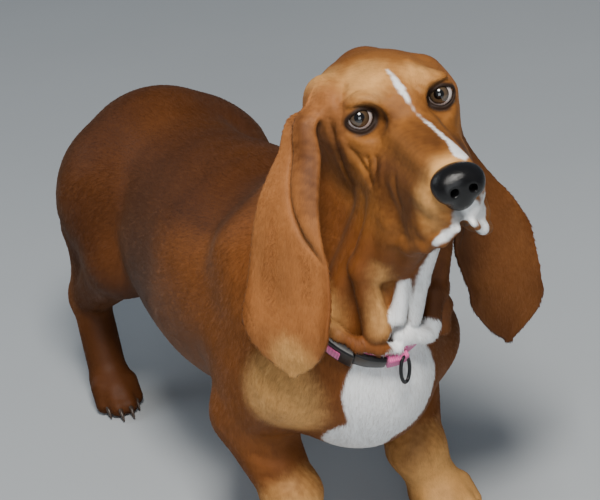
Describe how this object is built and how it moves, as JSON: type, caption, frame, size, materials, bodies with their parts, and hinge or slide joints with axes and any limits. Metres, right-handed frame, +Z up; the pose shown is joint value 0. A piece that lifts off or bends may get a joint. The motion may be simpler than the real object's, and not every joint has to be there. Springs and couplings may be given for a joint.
{
  "type": "basset hound figure",
  "caption": "Life-size still figure of a basset hound standing square, head up and turned, long ears hanging, tail down, with a webbing collar, buckle and lead ring",
  "frame": {"origin": "on the floor, under the middle of the figure's outline seen from above", "axes": "the hound faces -Y, its own left is +X, +Z is up"},
  "size_m": [0.2945, 0.8232, 0.5135],
  "materials": {
    "coat": "matte",
    "paw_coat": "matte",
    "face_coat": "matte",
    "ear_coat": "matte",
    "nose_leather": "satin",
    "eye": "gloss",
    "webbing": "matte",
    "black_plastic": "gloss",
    "ring_metal": "gloss"
  },
  "bodies": {
    "root": {"chest": "coat", "loin": "coat", "rump": "coat", "tail": "coat", "leg_front_right": "coat", "leg_front_left": "coat", "leg_hind_right": "coat", "leg_hind_left": "coat", "paw_front_right": "paw_coat", "paw_front_left": "paw_coat", "paw_hind_right": "paw_coat", "paw_hind_left": "paw_coat", "neck": "face_coat", "dewlap": "face_coat", "head": "face_coat", "muzzle": "face_coat", "lower_jaw": "face_coat", "ear_right": "ear_coat", "ear_left": "ear_coat", "nose": "nose_leather", "eye_right": "eye", "eye_left": "eye", "collar_band": "webbing", "collar_buckle": "black_plastic", "collar_buckle_button": "webbing", "collar_slide": "black_plastic", "collar_loop": "webbing", "collar_ring": "ring_metal"}
  },
  "joints": []
}
